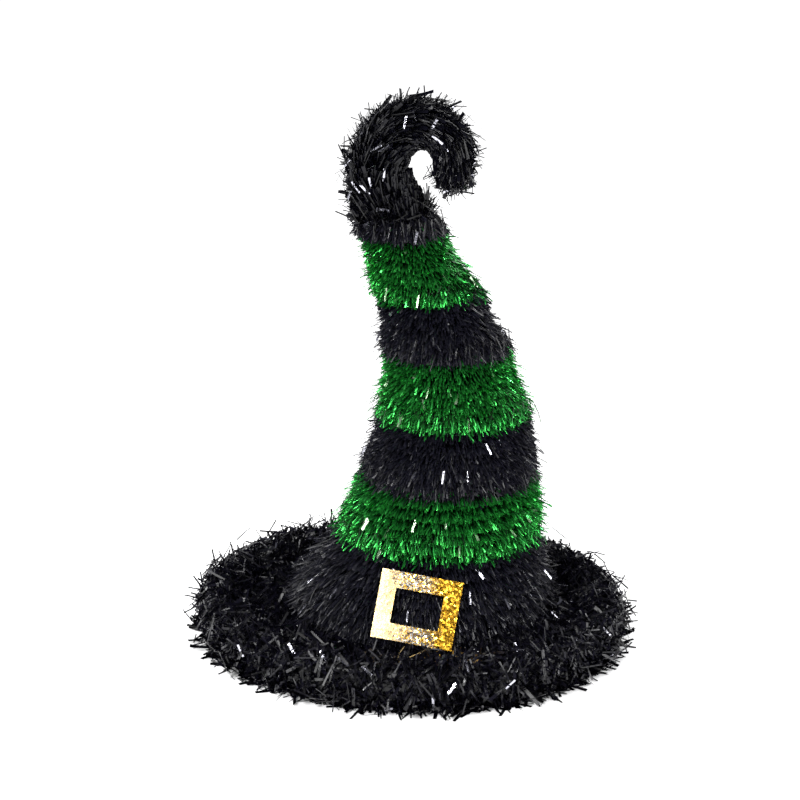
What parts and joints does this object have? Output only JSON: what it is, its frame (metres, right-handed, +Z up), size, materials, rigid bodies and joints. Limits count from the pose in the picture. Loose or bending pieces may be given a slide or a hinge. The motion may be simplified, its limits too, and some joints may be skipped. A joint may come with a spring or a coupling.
{
  "type": "tinsel witch hat decoration",
  "caption": "Free-standing tinsel witch hat: crooked banded cone with a curled tip, a round shaggy brim and a square buckle.",
  "frame": {"origin": "on the floor, under the middle of the brim", "axes": "+Z up, the buckle faces -Y, the crown leans towards +X before its tip curls back over"},
  "size_m": [0.2754, 0.2626, 0.3445],
  "materials": {
    "coarse_black_tinsel": "wide-cut metallised film",
    "fine_black_tinsel": "fine-cut metallised film",
    "fine_green_tinsel": "fine-cut metallised film",
    "frame_wire": "black lacquered steel wire",
    "core_wire": "twisted galvanised wire",
    "buckle_card": "holographic gold foil on card",
    "glue": "hot-melt glue"
  },
  "bodies": {
    "root": {"black_base_core": "core_wire", "black_base_garland": "fine_black_tinsel", "black_low_core": "core_wire", "black_low_garland": "fine_black_tinsel", "black_mid_core": "core_wire", "black_mid_garland": "fine_black_tinsel", "black_neck_core": "core_wire", "black_neck_garland": "fine_black_tinsel", "brim_inner_core": "core_wire", "brim_inner_garland": "coarse_black_tinsel", "brim_inner_ring": "frame_wire", "brim_outer_core": "core_wire", "brim_outer_garland": "coarse_black_tinsel", "brim_outer_ring": "frame_wire", "brim_spoke_1": "frame_wire", "brim_spoke_2": "frame_wire", "brim_spoke_3": "frame_wire", "brim_spoke_4": "frame_wire", "brim_spoke_5": "frame_wire", "brim_spoke_6": "frame_wire", "buckle_card": "buckle_card", "crown_base_hoop": "frame_wire", "crown_hoop_1": "frame_wire", "crown_hoop_2": "frame_wire", "crown_rib_1": "frame_wire", "crown_rib_2": "frame_wire", "crown_rib_3": "frame_wire", "crown_rib_4": "frame_wire", "glue_dab_left": "glue", "glue_dab_right": "glue", "green_low_core": "core_wire", "green_low_garland": "fine_green_tinsel", "green_mid_core": "core_wire", "green_mid_garland": "fine_green_tinsel", "green_top_core": "core_wire", "green_top_garland": "fine_green_tinsel", "neck_collar": "frame_wire", "tip_garland": "coarse_black_tinsel", "tip_wire": "frame_wire"}
  },
  "joints": []
}
